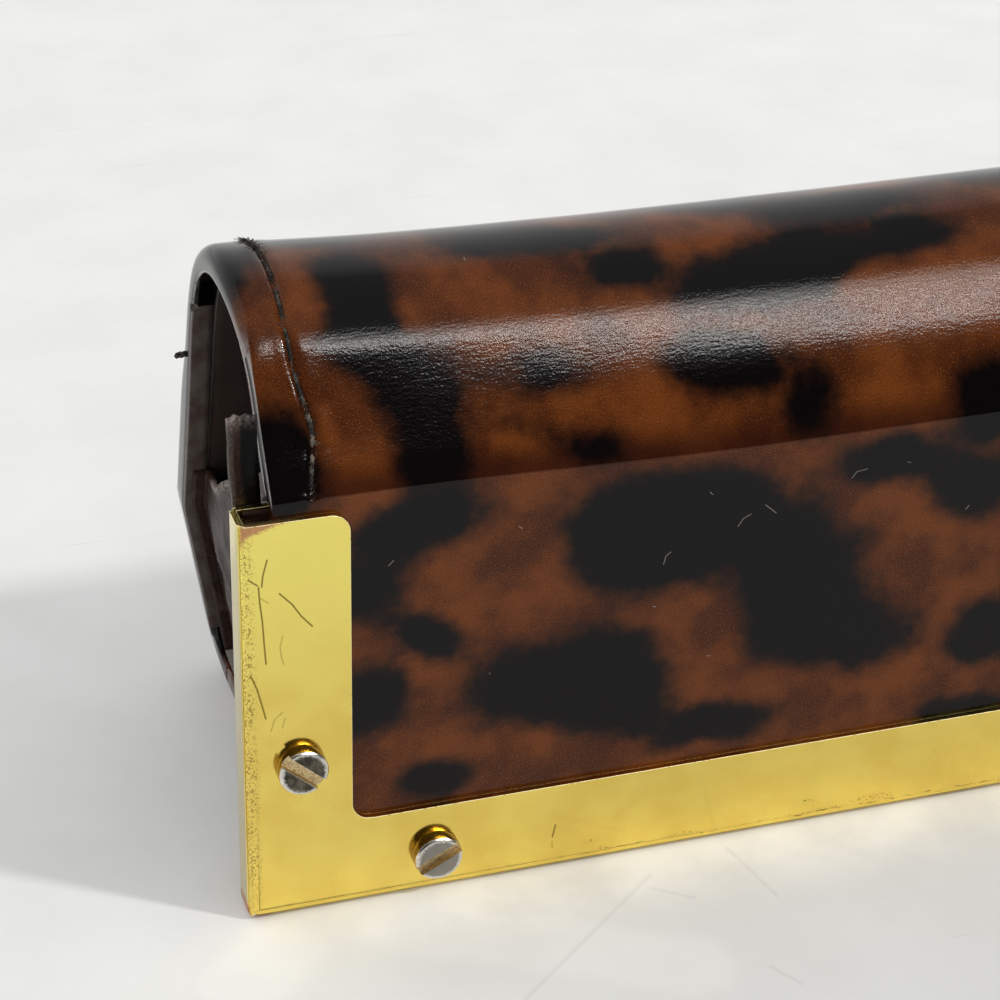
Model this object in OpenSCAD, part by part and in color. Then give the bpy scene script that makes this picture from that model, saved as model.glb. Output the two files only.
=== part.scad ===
// Hard sunglasses case: a leather-covered prism whose front is a flap with a
// metal channel frame. The flap folds up about the crease at its top edge.
// X runs along the case, Y from the front to the back, Z up. The origin is
// under the middle of the case, at the height of the table.

/* [Section] */
// Length over the metal frame
case_l = 165; // [140:1:190]
// Height of the crease that the flap folds about
crease_h = 47; // [42:1:56]
// Length of the slope from the crease to the ridge
slope_l = 12.6; // [9:0.1:18]
// Angle of the slope where it leaves the crease
slope_start_a = 58; // [50:1:66]
// Angle of the slope where the ridge begins
slope_end_a = 52; // [44:1:56]
// Radius of the ridge along the top
ridge_r = 13.5; // [10:0.5:18]
// Angle at which the ridge runs into the shoulder
shoulder_a = 50; // [42:1:56]
// Radius of the shoulder behind the ridge
shoulder_r = 35; // [25:1:45]
// Lean of the back, measured from upright
back_lean = 17; // [12:1:24]
// Radius of the edge between the back and the base
heel_r = 5; // [4.5:0.5:8]

/* [Layers] */
// Thickness of the patent leather
leather_t = 0.9; // [0.6:0.1:1.4]
// Thickness of the stiff board in the flap
flap_board_t = 1.2; // [1:0.1:2]
// Thickness of the moulded shell and boards of the body
shell_t = 1.4; // [1:0.1:2]
// Thickness of the lining
lining_t = 0.6; // [0.4:0.1:0.9]
// Thickness of the gusset leather
gusset_t = 0.8; // [0.5:0.1:1]
// Thickness of the gusset wing inside the frame
wing_t = 0.6; // [0.4:0.1:0.9]

/* [Metal frame] */
// Thickness of the frame's sheet metal
metal_t = 0.7; // [0.5:0.1:1]
// Width of the frame's arms, seen from the front
arm_w = 10.5; // [8:0.5:14]
// Distance of the tops of the frame's arms below the crease
arm_drop = 1.6; // [1.2:0.1:8]
// Height of the bar along the bottom
bar_h = 9.8; // [8:0.1:14]
// Width of the lips behind the flap
back_lip_w = 8.5; // [6:0.5:9]
// Radius of the outer bends of the channel
bend_r = 0.6; // [0.3:0.1:0.9]
// Radius of the window's lower corners
window_r = 2; // [0.5:0.5:4]
// Radius of the arms' upper inner corners
tip_r = 2; // [0.5:0.5:4]

/* [Screws] */
// Diameter of the screw heads
head_d = 5; // [4:0.1:6]
// Height of the screw heads
head_h = 1.45; // [1:0.05:2]
// Width of the drive slot
slot_w = 0.8; // [0.5:0.1:1]
// Depth of the drive slot
slot_deep = 0.7; // [0.4:0.1:0.9]
// Diameter of the threaded shank
shank_d = 2; // [1.6:0.1:2.6]
// Diameter of the nuts pressed into the back lips
nut_d = 4.2; // [3.6:0.1:5]
// Thickness of the nuts behind the lips
nut_t = 1; // [0.8:0.1:1.4]
// Distance of the arm screws from the end of the frame
arm_screw_x = 5.3; // [4:0.1:7]
// Height of the arm screws above the frame's lower edge
arm_screw_z = 17.4; // [14:0.1:30]
// Angle of the slot in the arm screws, seen from the front
arm_slot_a = -42; // [-90:1:90]
// Distance of the bar screws from the end of the frame
bar_screw_x = 19.1; // [14:0.1:30]
// Height of the bar screws above the frame's lower edge
bar_screw_z = 4.3; // [3.5:0.1:5.5]
// Angle of the slot in the bar screws, seen from the front
bar_slot_a = 28; // [-90:1:90]

/* [Closure] */
// Diameter of the magnets in the flap
magnet_d = 8; // [5:0.5:9]
// Distance of the magnets from the middle
magnet_x = 32; // [20:1:50]
// Height of the magnets
magnet_z = 8; // [7:0.5:12]
// Height of the lip at the front of the base
lip_h = 15; // [12:0.5:20]
// Length of the steel strip in the lip
strike_l = 96; // [70:1:130]
// Width of the steel strip
strike_w = 9; // [6:0.5:10]
// Thickness of the steel strip
strike_t = 0.6; // [0.4:0.1:0.9]

/* [Ends] */
// Distance of the leather's end from the end of the frame
end_inset = 2.3; // [1.5:0.1:3]
// Extra distance of the leather's end at the base
heel_inset = 5.2; // [3:0.1:6]
// Height at which the ends begin to draw in
draw_h = 27; // [20:1:32]
// Width of the hem that is turned in at each end
hem_w = 3.5; // [3:0.1:5]
// Distance of the gusset from the leather's end
gusset_inset = 2.2; // [1.8:0.1:2.6]
// Height of the gusset's top edge at the front
gusset_front_h = 50; // [44:1:54]
// Height of the gusset's top edge where it dips
gusset_dip_h = 37; // [34:1:40]
// Distance of the dip behind the frame's front face
gusset_dip_y = 22; // [16:1:28]
// Height of the gusset's top edge at the back
gusset_back_h = 30; // [27:1:33]
// Height of the loose tab on top of the gusset wing
tab_h = 9; // [5:0.5:11]
// Angle of the gusset wing behind the flap
wing_a = 56; // [50:1:58]
// Distance of the wing's lower edge above the table
wing_clear_h = 3.9; // [3.6:0.1:6]
// Distance of the wing's inner face from the end of the frame
wing_inset = 10.7; // [10.7:0.1:13]

/* [Stitching] */
// Distance of the seam from the leather's end
seam_inset = 5; // [3.5:0.1:7]
// Length of one stitch and its gap
stitch_pitch = 4; // [3:0.1:6]
// Gap between two stitches
stitch_gap = 0.6; // [0.4:0.1:1]
// Diameter of the thread
thread_d = 0.5; // [0.4:0.05:0.6]
// Width of the groove that the thread is pulled into
groove_w = 0.9; // [0.8:0.1:1.4]
// Depth of the groove
groove_deep = 0.65; // [0.6:0.05:0.75]

/* [Fits] */
// Gap between the flap's frame and the table
table_gap = 0.3; // [0.2:0.1:0.6]
// Gap between pieces that move past each other
run_gap = 0.4; // [0.3:0.1:0.6]
// Gap between the edges of boards at the crease
crease_gap = 0.5; // [0.3:0.1:0.8]
// Clearance of a shank in its holes
hole_clear = 0.1; // [0.05:0.05:0.2]
// Clearance of a thread in its nut
thread_clear = 0.02; // [0.01:0.01:0.05]

/* [Hidden] */

// Facets on round shapes
$fn = 48;
// Largest turn between two points of the section's curves, in degrees
turn_step = 6;
// A cut runs past the face that it goes through by this much
cut = 1;
// Reach of a cutting shape past the whole case
far = 200;
// Degrees in half and in a quarter of a turn
half_turn = 180;
quarter_turn = 90;

// Colours
patent_brown = [0.30, 0.14, 0.06];
patent_dark = [0.12, 0.06, 0.04];
gold = [0.83, 0.66, 0.22];
silver = [0.72, 0.70, 0.66];
suede = [0.16, 0.10, 0.07];
greyboard = [0.55, 0.52, 0.48];
steel = [0.60, 0.61, 0.63];
thread_black = [0.06, 0.05, 0.05];

// Layers of the flap, as distances behind the frame's front face
flap_skin_y = metal_t;
flap_board_y = flap_skin_y + leather_t;
flap_lining_y = flap_board_y + flap_board_t;
back_lip_y = flap_lining_y + max(lining_t, wing_t);
arm_h = crease_h - table_gap - arm_drop;
frame_d = back_lip_y + metal_t;
flap_back_y = frame_d + nut_t;

// The crease that the flap folds about, in the outer half of the leather
pivot_y = flap_skin_y + leather_t / 4;
pivot_z = crease_h - crease_gap / 2;
flap_top_z = crease_h - crease_gap;

// Layers of the body, as depths below its outer surface
shell_d = leather_t;
lining_d = shell_d + shell_t;
hem_in_d = lining_d + leather_t;
// Where the leather and the stiff layers of the body begin, along the slope
leather_s = crease_gap;
stiff_s = hem_in_d * cos(slope_start_a) / sin(slope_start_a);

// The section's outer line: the slope, the ridge, the shoulder, the back and the heel.
// Each stretch is [length, radius], and a radius of 0 is a straight stretch.
function arc_l(r, from_a, to_a) = r * (from_a - to_a) * PI / half_turn;
slope_r = slope_l / ((slope_start_a - slope_end_a) * PI / half_turn);
back_a = back_lean - quarter_turn;
ridge_z = crease_h + slope_r * (cos(slope_end_a) - cos(slope_start_a));
shoulder_z = ridge_z + ridge_r * (cos(shoulder_a) - cos(slope_end_a));
back_top_z = shoulder_z + shoulder_r * (cos(back_a) - cos(shoulder_a));
heel_top_z = heel_r * (1 + cos(back_a));
back_l = (back_top_z - heel_top_z) / cos(back_lean);
upper = [
    [slope_l, slope_r],
    [arc_l(ridge_r, slope_end_a, -shoulder_a), ridge_r],
    [arc_l(shoulder_r, -shoulder_a, back_a), shoulder_r],
    [back_l, 0],
    [arc_l(heel_r, back_a, -half_turn), heel_r]
];
function sum_l(n) = n == 0 ? 0 : upper[n - 1][0] + sum_l(n - 1);
shoulder_end_s = sum_l(3);
back_end_s = sum_l(4);
heel_end_s = sum_l(5);

// Position and heading after going u along a stretch from p with heading a
function turned(a, u, r) = r == 0 ? a : a - u / r * half_turn / PI;
function moved(p, a, u, r) = r == 0
    ? p + u * [cos(a), sin(a)]
    : p + r * [sin(a) - sin(turned(a, u, r)), cos(turned(a, u, r)) - cos(a)];
function along(s, i = 0, p = [flap_skin_y, crease_h], a = slope_start_a) =
    s <= upper[i][0] || i == len(upper) - 1
        ? [moved(p, a, s, upper[i][1]), turned(a, s, upper[i][1])]
        : along(s - upper[i][0], i + 1, moved(p, a, upper[i][0], upper[i][1]),
            turned(a, upper[i][0], upper[i][1]));
// The point at distance s along the outer line, at depth d below it
function skin(s, d) = let (q = along(s)) q[0] + d * [sin(q[1]), -cos(q[1])];

// Distances along the outer line at which a curve gets a point
function stretch_steps(i) = upper[i][1] == 0
    ? 1
    : max(2, ceil(upper[i][0] / upper[i][1] * half_turn / PI / turn_step));
all_s = concat([leather_s, stiff_s], [for (i = [0:len(upper) - 1])
    for (j = [0:stretch_steps(i) - 1])
        let (s = sum_l(i) + upper[i][0] * j / stretch_steps(i)) if (s > stiff_s) s], [heel_end_s]);
function between(s0, s1) = concat([s0], [for (s = all_s) if (s > s0 && s < s1) s], [s1]);
function band_points(d0, d1, s0, s1) = let (line = between(s0, s1))
    concat([for (s = line) skin(s, d0)], [for (i = [len(line) - 1:-1:0]) skin(line[i], d1)]);

heel_end_y = skin(heel_end_s, 0)[0];
back_y = max([for (s = all_s) skin(s, 0)[0]]);
// The front face of the frame, so that the whole case is centred over the origin
front_y = (head_h - back_y) / 2;

// The lip at the front of the base
lip_y = flap_back_y + run_gap;
lip_board_y = lip_y + leather_t;
lip_back_y = lip_board_y + shell_t;
lip_x = case_l / 2 - wing_inset - run_gap - leather_t;

// Screw places as [distance from the end, height, slot angle]
screws = [
    [arm_screw_x, arm_screw_z, arm_slot_a],
    [bar_screw_x, bar_screw_z, bar_slot_a]
];

// Puts a piece that is drawn from the frame's front face into the case's own place
module placed() translate([0, front_y, 0]) children();

// Extrudes a drawing of the section, with Y to its right and Z up, along X
module along_x(x0, x1) translate([x0, 0, 0]) rotate([90, 0, 90]) linear_extrude(x1 - x0) children();

// Extrudes a drawing of the front view from y0 back to y1
module along_y(y0, y1) translate([0, y1, 0]) rotate([90, 0, 0]) linear_extrude(y1 - y0) children();

module both_ends() for (side = [0, 1]) mirror([side, 0, 0]) children();

// The part of the section between two depths and two distances along the outer line
module band(d0, d1, s0, s1) polygon(band_points(d0, d1, s0, s1));

// The end of the leather, seen from the front, at a distance inside its edge
function end_x(inset) = -case_l / 2 + end_inset + inset;
module ends_cut(inset) {
    polygon([
        [end_x(inset), far], [end_x(inset), draw_h], [end_x(inset) + heel_inset, 0],
        [-end_x(inset) - heel_inset, 0], [-end_x(inset), draw_h], [-end_x(inset), far]
    ]);
}

// A strip beside the left end, between two distances inside the leather's edge
module end_strip(inset0, inset1) {
    polygon([
        [end_x(inset0), far], [end_x(inset0), draw_h], [end_x(inset0) + heel_inset, 0],
        [end_x(inset1) + heel_inset, 0], [end_x(inset1), draw_h], [end_x(inset1), far]
    ]);
}

// A sheet of the body: a band of the section, as long as the case, with its ends drawn in
module body_sheet(d0, d1, s0, s1, inset) {
    intersection() {
        along_x(-case_l / 2, case_l / 2) band(d0, d1, s0, s1);
        along_y(-cut, far) ends_cut(inset);
    }
}

// A rectangle with round corners, made of exact arcs
module round_rect(w, h, r) {
    translate([r, 0]) square([w - 2 * r, h]);
    translate([0, r]) square([w, h - 2 * r]);
    for (x = [r, w - r]) for (y = [r, h - r]) translate([x, y]) circle(r);
}

// Holes for the screws, through everything from y0 to y1
module screw_holes(y0, y1) {
    both_ends() for (s = screws)
        translate([-case_l / 2 + s[0], y1, table_gap + s[1]])
            rotate([90, 0, 0]) cylinder(d = shank_d + 2 * hole_clear, h = y1 - y0);
}

// A flat sheet of the flap with the screws' holes
module flap_sheet(x0, z0, z1, y0, t) {
    difference() {
        translate([-case_l / 2 + x0, y0, z0]) cube([case_l - 2 * x0, t, z1 - z0]);
        screw_holes(y0 - cut, y0 + t + cut);
    }
}

// Patent leather over the front of the flap
module flap_leather() color(patent_brown) placed()
    flap_sheet(end_inset, table_gap + metal_t, crease_h - 2 * crease_gap, flap_skin_y, leather_t);

// Stiff board in the flap, with pockets for the magnets
module flap_board() color(greyboard) placed() difference() {
    flap_sheet(end_inset, table_gap + metal_t, flap_top_z, flap_board_y, flap_board_t);
    magnet_row(magnet_d + 2 * hole_clear, flap_board_y - cut, flap_board_y + flap_board_t + cut);
}

module magnet_row(d, y0, y1) both_ends()
    translate([magnet_x, y1, magnet_z]) rotate([90, 0, 0]) cylinder(d = d, h = y1 - y0);

// Disc magnets let into the flap's board
module flap_magnets() color(steel) placed()
    magnet_row(magnet_d, flap_board_y, flap_board_y + flap_board_t);

// Lining of the flap, tucked behind the frame's lower lip
module flap_lining() color(suede) placed()
    flap_sheet(wing_inset + hole_clear, table_gap + bar_h - back_lip_w / 2, flap_top_z,
        flap_lining_y, lining_t);

// The frame as a solid block with round edges, before it is hollowed
module frame_block() {
    r = bend_r + metal_t;
    intersection() {
        translate([-case_l / 2, 0, table_gap]) linear_extrude(arm_h) round_rect(case_l, frame_d, r);
        translate([0, 0, table_gap]) along_x(-case_l / 2, case_l / 2) round_rect(frame_d, far, r);
        along_y(0, frame_d) translate([-case_l / 2, table_gap]) round_rect(case_l, far, r);
    }
}

// The window that the frame leaves between its arms, seen from the front
module frame_window(side, bottom, corner_r, top_r) {
    w = case_l - 2 * side;
    z0 = table_gap + bottom;
    top = table_gap + arm_h;
    translate([-w / 2, z0]) round_rect(w, far, corner_r);
    both_ends() difference() {
        translate([-w / 2 - top_r, top - top_r]) square([2 * top_r, top_r + cut]);
        translate([-w / 2 - top_r, top - top_r]) circle(top_r);
    }
}

// Sheet-metal channel round the flap's lower edge and both its sides
module flap_frame() color(gold) placed() difference() {
    frame_block();
    translate([metal_t - case_l / 2, metal_t, table_gap + metal_t])
        cube([case_l - 2 * metal_t, frame_d - 2 * metal_t, far]);
    along_y(-cut, metal_t + cut / 2) frame_window(arm_w, bar_h, window_r, tip_r);
    along_y(back_lip_y - cut / 2, frame_d + cut)
        frame_window(back_lip_w, back_lip_w, window_r, tip_r);
    screw_holes(-cut, frame_d + cut);
}

// Slotted screws with round flat heads
module frame_screws() color(silver) placed() both_ends() for (s = screws)
    translate([-case_l / 2 + s[0], 0, table_gap + s[1]]) rotate([90, 0, 0]) difference() {
        chamfer = slot_w / 4;
        union() {
            cylinder(d = head_d, h = head_h - chamfer);
            translate([0, 0, head_h - chamfer])
                cylinder(d1 = head_d, d2 = head_d - 2 * chamfer, h = chamfer);
            translate([0, 0, -flap_back_y]) cylinder(d = shank_d, h = flap_back_y);
        }
        rotate(s[2]) translate([-head_d, -slot_w / 2, head_h - slot_deep])
            cube([2 * head_d, slot_w, slot_deep + cut]);
    }

// Round nuts pressed onto the back of the frame's lips
module frame_nuts() color(gold) placed() both_ends() for (s = screws)
    translate([-case_l / 2 + s[0], flap_back_y, table_gap + s[1]]) rotate([90, 0, 0]) difference() {
        cylinder(d = nut_d, h = nut_t);
        translate([0, 0, -cut]) cylinder(d = shank_d + 2 * thread_clear, h = nut_t + 2 * cut);
    }

// Front wing of a gusset: held in the frame's channel, it turns back inside the case as a fan
module left_wing_form() {
    x0 = -case_l / 2 + metal_t + hole_clear;
    x1 = -case_l / 2 + wing_inset;
    wing_r = pivot_z - wing_clear_h;
    difference() {
        union() {
            translate([x0, flap_lining_y, wing_clear_h])
                cube([x1 - x0, wing_t, flap_top_z - wing_clear_h]);
            translate([x0, flap_lining_y, wing_clear_h])
                cube([end_x(0) - run_gap - x0, wing_t, flap_top_z + tab_h - wing_clear_h]);
            along_x(x1 - wing_t, x1) intersection() {
                translate([pivot_y, pivot_z]) circle(wing_r);
                translate([flap_lining_y, 0]) square([far, flap_top_z]);
                polygon([[pivot_y, pivot_z], [pivot_y, pivot_z - far],
                    [pivot_y + far * sin(wing_a), pivot_z - far * cos(wing_a)]]);
            }
        }
        screw_holes(flap_lining_y - cut, flap_lining_y + wing_t + cut);
        translate([x1 - wing_t - cut, back_lip_y, 0])
            cube([wing_t + 2 * cut, metal_t + run_gap, table_gap + back_lip_w + run_gap]);
    }
}
module left_gusset_wing() color(patent_dark) placed() left_wing_form();
module right_gusset_wing() color(patent_dark) placed() mirror([1, 0, 0]) left_wing_form();

// The stretch of leather that bends between the flap and the slope
module crease_leather() color(patent_brown) placed()
    along_x(-case_l / 2 + end_inset, case_l / 2 - end_inset) {
        z0 = crease_h - 2 * crease_gap + hole_clear;
        half_a = (quarter_turn + slope_start_a) / 2;
        polygon([
            [flap_skin_y, z0], [flap_skin_y, crease_h], skin(leather_s - hole_clear, 0),
            skin(leather_s - hole_clear, leather_t),
            [flap_skin_y + leather_t, crease_h - leather_t / tan(half_a)],
            [flap_skin_y + leather_t, z0]
        ]);
    }

// Patent leather over the slope, the ridge, the back and the heel, with a groove at each seam
module body_leather() color(patent_brown) placed() difference() {
    body_sheet(0, leather_t, leather_s, heel_end_s, 0);
    both_ends() along_x(end_x(seam_inset - groove_w / 2), end_x(seam_inset + groove_w / 2))
        band(-cut, groove_deep, leather_s, shoulder_end_s);
}

// Moulded shell that stiffens the slope, the ridge and the shoulder
module spine_shell() color(greyboard) placed()
    body_sheet(shell_d, lining_d, stiff_s, shoulder_end_s, leather_t);

// Stiff board of the back, bent round the heel
module back_board() color(greyboard) placed()
    body_sheet(shell_d, lining_d, shoulder_end_s, heel_end_s, leather_t);

// Stiff board of the base
module base_board() color(greyboard) placed() intersection() {
    translate([-case_l / 2, lip_board_y, shell_d])
        cube([case_l, heel_end_y - lip_board_y, shell_t]);
    along_y(-cut, far) ends_cut(leather_t);
}

// Patent leather under the base
module base_leather() color(patent_brown) placed() intersection() {
    translate([-case_l / 2, lip_y, 0]) cube([case_l, heel_end_y - lip_y, leather_t]);
    along_y(-cut, far) ends_cut(0);
}

// Lining of the slope, the ridge and the back
module body_lining() color(suede) placed()
    body_sheet(lining_d, lining_d + lining_t, stiff_s, back_end_s, hem_w + hole_clear);

// Lining of the base, behind the lip
module base_lining() color(suede) placed() intersection() {
    translate([-case_l / 2, lip_back_y + leather_t + hole_clear, lining_d])
        cube([case_l, heel_end_y - lip_back_y - leather_t - hole_clear, lining_t]);
    along_y(-cut, far) ends_cut(hem_w + hole_clear);
}

// Board of the lip, recessed in front for the steel strip
module lip_board() color(greyboard) placed() difference() {
    translate([-lip_x, lip_board_y, lining_d]) cube([2 * lip_x, shell_t, lip_h - lining_d]);
    translate([-strike_l / 2 - hole_clear, lip_board_y - cut, magnet_z - strike_w / 2 - hole_clear])
        cube([strike_l + 2 * hole_clear, cut + strike_t, strike_w + 2 * hole_clear]);
}

// Leather folded over the lip, front and back
module lip_cover() color(patent_dark) placed() difference() {
    translate([-lip_x - leather_t, lip_y, leather_t])
        cube([2 * lip_x + 2 * leather_t, lip_back_y + leather_t - lip_y, lip_h]);
    translate([-lip_x, lip_board_y, 0]) cube([2 * lip_x, shell_t, lip_h]);
    translate([-far, lip_board_y, 0]) cube([2 * far, far, lining_d]);
}

// Steel strip that the flap's magnets pull on
module strike_strip() color(steel) placed()
    translate([-strike_l / 2, lip_board_y, magnet_z - strike_w / 2])
        cube([strike_l, strike_t, strike_w]);

// Leather turned in round the end of the shell
module left_hem_form() intersection() {
    along_x(-case_l / 2, 0) band(shell_d, hem_in_d, stiff_s, back_end_s);
    along_y(-cut, far) end_strip(0, hem_w);
    union() {
        along_x(-case_l / 2, 0) band(lining_d, hem_in_d + cut, stiff_s, back_end_s);
        along_y(-cut, far) end_strip(0, leather_t);
    }
}
module left_end_hem() color(patent_brown) placed() left_hem_form();
module right_end_hem() color(patent_brown) placed() mirror([1, 0, 0]) left_hem_form();

// The inside of the case as a section: wall_d is the depth of its walls, floor_z of its floor
module inside(wall_d, floor_z) polygon(concat(
    [[lip_y, floor_z], [lip_y, flap_top_z]],
    [for (s = between(stiff_s, back_end_s)) skin(s, wall_d)],
    [[heel_end_y, floor_z]]
));

// Everything under the gusset's drooping top edge
module under_gusset_top() polygon([
    [0, 0], [0, gusset_front_h], [frame_d, gusset_front_h], [gusset_dip_y, gusset_dip_h],
    [back_y, gusset_back_h], [back_y, 0]
]);

// Gusset that closes an end, with a flange glued to the hem and to the base
module left_gusset_form() intersection() {
    along_x(-case_l / 2, 0) intersection() {
        inside(hem_in_d, lining_d);
        under_gusset_top();
    }
    union() {
        along_y(-cut, far) end_strip(gusset_inset, gusset_inset + gusset_t);
        intersection() {
            along_y(-cut, far) end_strip(leather_t, gusset_inset + gusset_t);
            along_x(-case_l / 2, 0) difference() {
                inside(hem_in_d, lining_d);
                translate([-gusset_t, 0]) inside(hem_in_d, lining_d + gusset_t);
            }
        }
    }
}
module left_gusset() color(patent_dark) placed() left_gusset_form();
module right_gusset() color(patent_dark) placed() mirror([1, 0, 0]) left_gusset_form();

// A row of stitches over the ridge, each a short straight thread in the groove
seam_s0 = leather_s;
seam_s1 = shoulder_end_s;
seam_n = floor((seam_s1 - seam_s0) / stitch_pitch);
module left_seam_form() for (i = [0:seam_n - 1]) {
    deep = groove_deep - thread_d / 2 - hole_clear;
    a = skin(seam_s0 + i * stitch_pitch + stitch_gap, deep);
    b = skin(seam_s0 + (i + 1) * stitch_pitch, deep);
    step = b - a;
    translate([end_x(seam_inset), a[0], a[1]])
        rotate([atan2(step[1], step[0]) - quarter_turn, 0, 0])
            cylinder(d = thread_d, h = norm(step));
}
module left_seam_thread() color(thread_black) placed() left_seam_form();
module right_seam_thread() color(thread_black) placed() mirror([1, 0, 0]) left_seam_form();

flap_leather();
flap_board();
flap_lining();
flap_frame();
frame_screws();
frame_nuts();
flap_magnets();
left_gusset_wing();
right_gusset_wing();
crease_leather();
body_leather();
spine_shell();
back_board();
base_board();
base_leather();
body_lining();
base_lining();
lip_board();
lip_cover();
strike_strip();
left_end_hem();
right_end_hem();
left_gusset();
right_gusset();
left_seam_thread();
right_seam_thread();
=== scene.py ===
import math
import random

import bmesh
import bpy
from mathutils import Matrix, Vector, noise


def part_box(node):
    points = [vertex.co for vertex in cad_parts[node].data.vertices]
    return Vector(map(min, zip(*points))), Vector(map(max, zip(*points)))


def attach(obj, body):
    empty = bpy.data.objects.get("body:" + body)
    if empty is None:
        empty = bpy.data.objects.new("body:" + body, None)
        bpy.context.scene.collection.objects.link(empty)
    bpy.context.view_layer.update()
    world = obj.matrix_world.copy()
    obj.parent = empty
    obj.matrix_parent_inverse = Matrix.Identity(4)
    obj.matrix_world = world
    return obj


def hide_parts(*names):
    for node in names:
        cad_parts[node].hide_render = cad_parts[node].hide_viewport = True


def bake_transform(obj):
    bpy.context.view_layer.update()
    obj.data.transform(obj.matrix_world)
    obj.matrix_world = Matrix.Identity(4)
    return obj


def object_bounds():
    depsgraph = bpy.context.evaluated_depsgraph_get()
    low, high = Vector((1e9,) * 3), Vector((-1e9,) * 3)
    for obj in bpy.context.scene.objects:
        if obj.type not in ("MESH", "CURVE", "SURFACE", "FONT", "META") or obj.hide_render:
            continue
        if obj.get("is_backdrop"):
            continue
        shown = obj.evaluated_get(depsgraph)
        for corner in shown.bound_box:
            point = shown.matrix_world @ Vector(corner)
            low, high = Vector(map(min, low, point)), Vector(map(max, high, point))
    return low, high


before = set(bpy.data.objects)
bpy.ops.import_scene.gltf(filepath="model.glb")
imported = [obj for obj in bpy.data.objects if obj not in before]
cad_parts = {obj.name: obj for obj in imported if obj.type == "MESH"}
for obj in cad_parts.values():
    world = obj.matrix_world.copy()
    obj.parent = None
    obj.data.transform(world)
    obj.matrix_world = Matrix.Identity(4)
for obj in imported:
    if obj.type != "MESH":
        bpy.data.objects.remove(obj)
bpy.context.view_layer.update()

# --- Camera ---
# A telephone camera held 0.35 m from the left end of the case. It looks down on the front by
# 30 degrees and is turned 18 degrees to the right.


def new_object(name, data):
    """A new object with that data, in the scene."""
    made = bpy.data.objects.new(name, data)
    bpy.context.scene.collection.objects.link(made)
    return made


camera = new_object("camera", bpy.data.cameras.new("camera"))
bpy.context.scene.camera = camera
camera.data.lens = 108
camera.data.clip_start = 0.01
camera.matrix_world = (
    Matrix.Translation((-0.1352, -0.2579, 0.1858))
    @ Matrix.Rotation(-0.32027, 4, "Z")
    @ Matrix.Rotation(math.pi / 2 - 0.51897, 4, "X")
    @ Matrix.Rotation(0.02094, 4, "Z")
)

# --- Table and light ---
# A pale, slightly scuffed table top under soft room light, with one small lamp high on the
# right in front, and a pale screen that the glossy leather mirrors up to the screen's top edge.
mm = 0.001


def put(kind, links=None, tree=None, **settings):
    """A shader node with its settings, and its inputs set to a value or linked to a socket. It
    goes into the node tree of those sockets, unless one is named."""
    links = links or {}
    sockets = {n: v for n, v in links.items() if isinstance(v, bpy.types.NodeSocket)}
    tree = tree or next(iter(sockets.values())).id_data
    node = tree.nodes.new("ShaderNode" + kind)
    for key, value in settings.items():
        setattr(node, key, value)
    for name, value in links.items():
        if name in sockets:
            tree.links.new(value, node.inputs[name])
        else:
            node.inputs[name].default_value = value
    return node


def new_finish(name, **values):
    """A material for one finish, with its shader set to the values, and the socket that gives
    the place on the object."""
    finish = bpy.data.materials.new(name)
    finish.use_nodes = True
    shader = finish.node_tree.nodes["Principled BSDF"]
    for socket, value in values.items():
        shader.inputs[socket.replace("_", " ")].default_value = value
    return finish, shader, put("TexCoord", tree=finish.node_tree).outputs["Object"]


def feed(node, value, name="Base Color"):
    """Links a socket to the node's input of that name."""
    value.id_data.links.new(value, node.inputs[name])


def count(what, a, b=0.5, c=0.0):
    """The result of one sum on one to three numbers or sockets."""
    return put("Math", {0: a, 1: b, 2: c}, operation=what).outputs[0]


def times(a, b):
    """The product of two numbers or sockets."""
    return count("MULTIPLY", a, b)


def vectors(what, a, b=(0, 0, 0)):
    """The results of one sum on one or two vectors: a vector and a number."""
    return put("VectorMath", {0: a, 1: b}, operation=what).outputs


def axes(vector):
    """The three numbers of a vector socket."""
    return put("SeparateXYZ", {"Vector": vector}).outputs


def ramp(value, low, high, start=0.0, stop=1.0):
    """Goes smoothly from start to stop while the value goes from low to high."""
    limits = {"Value": value, "From Min": low, "From Max": high, "To Min": start, "To Max": stop}
    return put("MapRange", limits, interpolation_type="SMOOTHSTEP").outputs[0]


def grain(place, size, detail=2.0, rough=0.5, stretch=(1, 1, 1), turn=(0, 0, 0)):
    """Noise with grains of that size in metres, stretched along the axes by those factors."""
    scale = [1 / size / s for s in stretch]
    spot = put("Mapping", {"Vector": place, "Rotation": turn, "Scale": scale}).outputs[0]
    links = {"Vector": spot, "Scale": 1.0, "Detail": detail, "Roughness": rough}
    return put("TexNoise", links).outputs[0]


def tint(share, first, second):
    """The colour that lies at that share of the way from the first colour to the second."""
    ends = [c if isinstance(c, bpy.types.NodeSocket) else (*c, 1) for c in (first, second)]
    return put("Mix", {0: share, 6: ends[0], 7: ends[1]}, data_type="RGBA").outputs[2]


def strokes(place, width, paths):
    """1 on thin lines drawn through the points of each path in mm, and 0 away from them."""
    nearest = 1.0
    for path in paths:
        for a, b in zip(path, path[1:]):
            a, b = Vector((*a, 0)[:3]) * mm, Vector((*b, 0)[:3]) * mm
            run = b - a
            part = vectors("SUBTRACT", place, a)[0]
            along = vectors("DOT_PRODUCT", part, run / run.length_squared)["Value"]
            along = put("Clamp", {"Value": along}).outputs[0]
            foot = put("VectorMath", {0: run, "Scale": along}, operation="SCALE").outputs[0]
            nearest = count("MINIMUM", nearest, vectors("DISTANCE", part, foot)["Value"])
    return ramp(nearest, width * 0.35, width * 0.75, 1, 0)


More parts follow.
